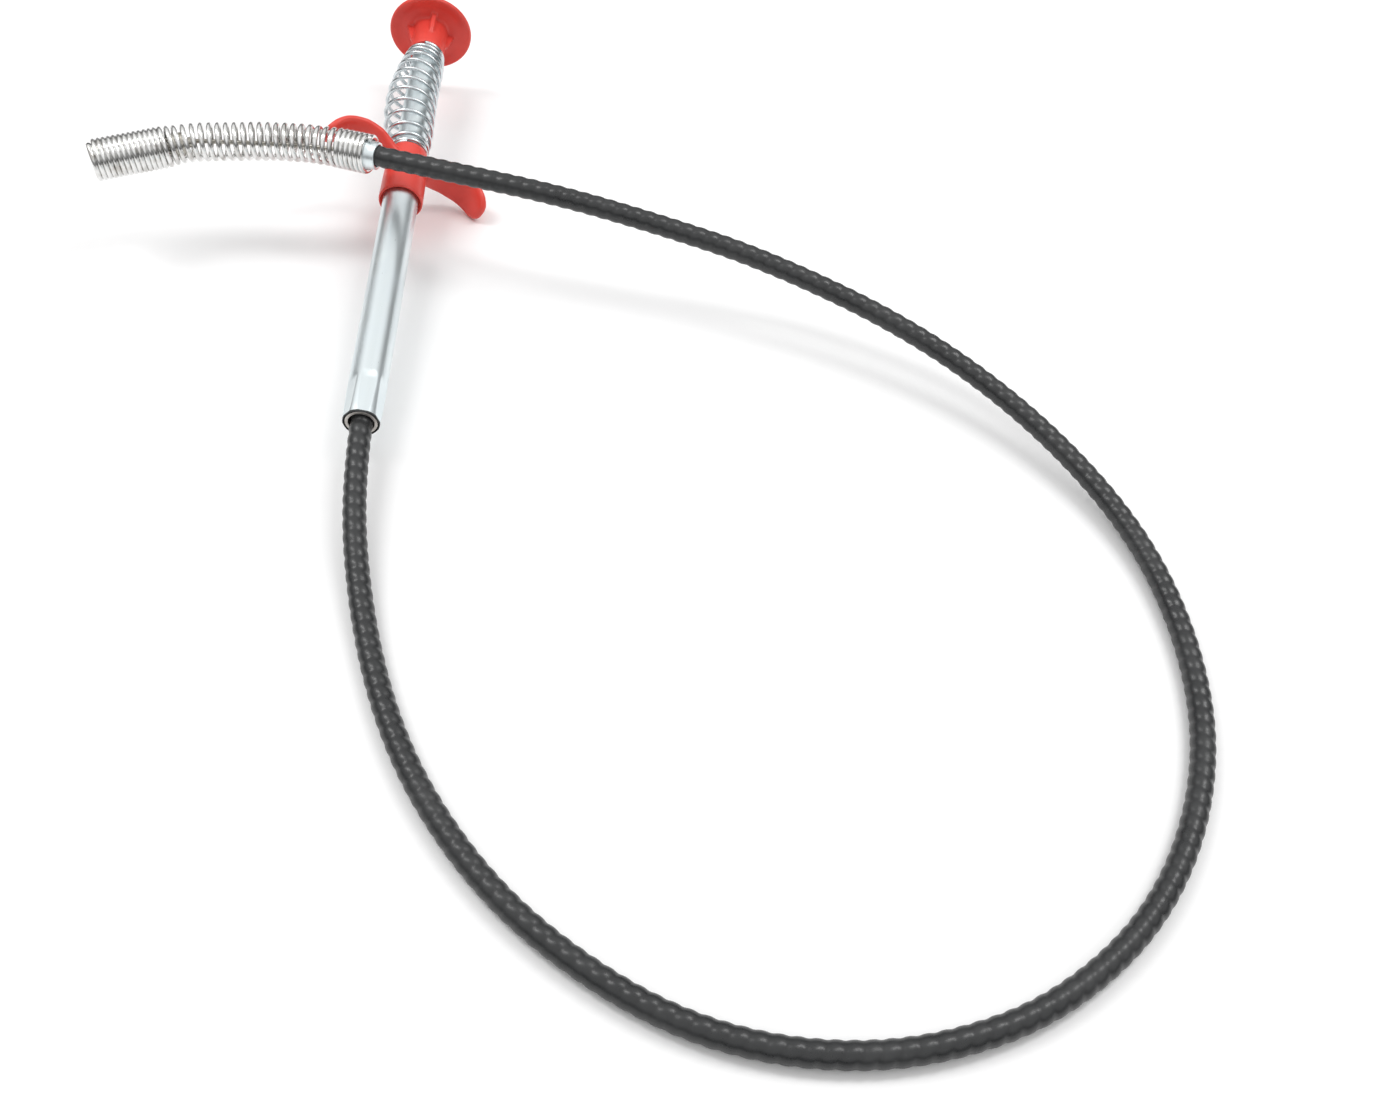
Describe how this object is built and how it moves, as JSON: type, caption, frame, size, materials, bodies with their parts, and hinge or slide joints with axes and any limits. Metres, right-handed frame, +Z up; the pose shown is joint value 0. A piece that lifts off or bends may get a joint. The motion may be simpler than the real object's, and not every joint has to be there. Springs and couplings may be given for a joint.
{
  "type": "drain auger",
  "caption": "hand-held claw drain auger: plunger handle with thumb button and finger grip, ribbed flexible shaft, spring head that hides a set of claws",
  "frame": {"origin": "on the surface it lies on, under the middle of the handle and head together", "axes": "+Z up from the surface it lies on, +Y along the handle from the shaft towards the thumb button (the handle rises 3.9 degrees that way), -X the way the spring head points"},
  "size_m": [0.3469, 0.3944, 0.0454],
  "materials": {
    "red_plastic": "moulded red plastic, satin",
    "zinc_steel": "bright zinc-plated steel with faint draw lines",
    "spring_steel": "zinc-plated spring wire",
    "head_steel": "polished spring wire",
    "wire_steel": "drawn steel wire",
    "bushing_steel": "dull grey steel",
    "brass": "turned brass",
    "black_jacket": "soft black PVC over a ribbed coil, satin",
    "black_plastic": "black nylon"
  },
  "bodies": {
    "handle": {"finger_grip": "red_plastic", "handle_tube": "zinc_steel", "guide_bush": "black_plastic", "rear_bushing": "bushing_steel", "shaft_jacket": "black_jacket", "shaft_liner": "spring_steel", "drive_wire": "wire_steel", "front_ferrule": "zinc_steel", "head_spring": "head_steel", "return_spring": "spring_steel"},
    "plunger": {"thumb_button": "red_plastic", "plunger_tube": "zinc_steel", "wire_anchor": "brass", "wire_end_crimp": "bushing_steel"},
    "claw_carrier": {"claw_collar": "brass"},
    "claw_1": {"claw_1": "wire_steel"},
    "claw_2": {"claw_2": "wire_steel"},
    "claw_3": {"claw_3": "wire_steel"},
    "claw_4": {"claw_4": "wire_steel"}
  },
  "joints": [
    {"name": "plunger_slide", "type": "slide", "parent": "handle", "child": "plunger", "axis": [0, -0.9977, -0.0675], "range_m": [0, 0.024], "stiffness_N_per_m": 200, "springref_m": -0.01, "deforming": ["return_spring"]},
    {"name": "claw_slide", "type": "slide", "parent": "handle", "child": "claw_carrier", "axis": [-0.9301, -0.3662, -0.0291], "range_m": [0, 0.024]},
    {"name": "claw_1_open", "type": "hinge", "parent": "claw_carrier", "child": "claw_1", "pos_m": [-0.03826, -0.00213, 0.0393], "axis": [-0.2782, 0.6504, 0.7068], "range_deg": [0, 18.5]},
    {"name": "claw_2_open", "type": "hinge", "parent": "claw_carrier", "child": "claw_2", "pos_m": [-0.0394, 0.00077, 0.0393], "axis": [-0.2399, 0.6655, -0.7068], "range_deg": [0, 18.5]},
    {"name": "claw_3_open", "type": "hinge", "parent": "claw_carrier", "child": "claw_3", "pos_m": [-0.03931, 0.0008, 0.03619], "axis": [0.2782, -0.6504, -0.7068], "range_deg": [0, 18.5]},
    {"name": "claw_4_open", "type": "hinge", "parent": "claw_carrier", "child": "claw_4", "pos_m": [-0.03817, -0.00209, 0.03619], "axis": [0.2399, -0.6655, 0.7068], "range_deg": [0, 18.5]}
  ],
  "couplings": [
    {"joint": "claw_slide", "follows": "plunger_slide", "ratio": 1},
    {"joint": "claw_1_open", "follows": "plunger_slide", "rad_per_m": 13.1},
    {"joint": "claw_2_open", "follows": "plunger_slide", "rad_per_m": 13.1},
    {"joint": "claw_3_open", "follows": "plunger_slide", "rad_per_m": 13.1},
    {"joint": "claw_4_open", "follows": "plunger_slide", "rad_per_m": 13.1}
  ]
}
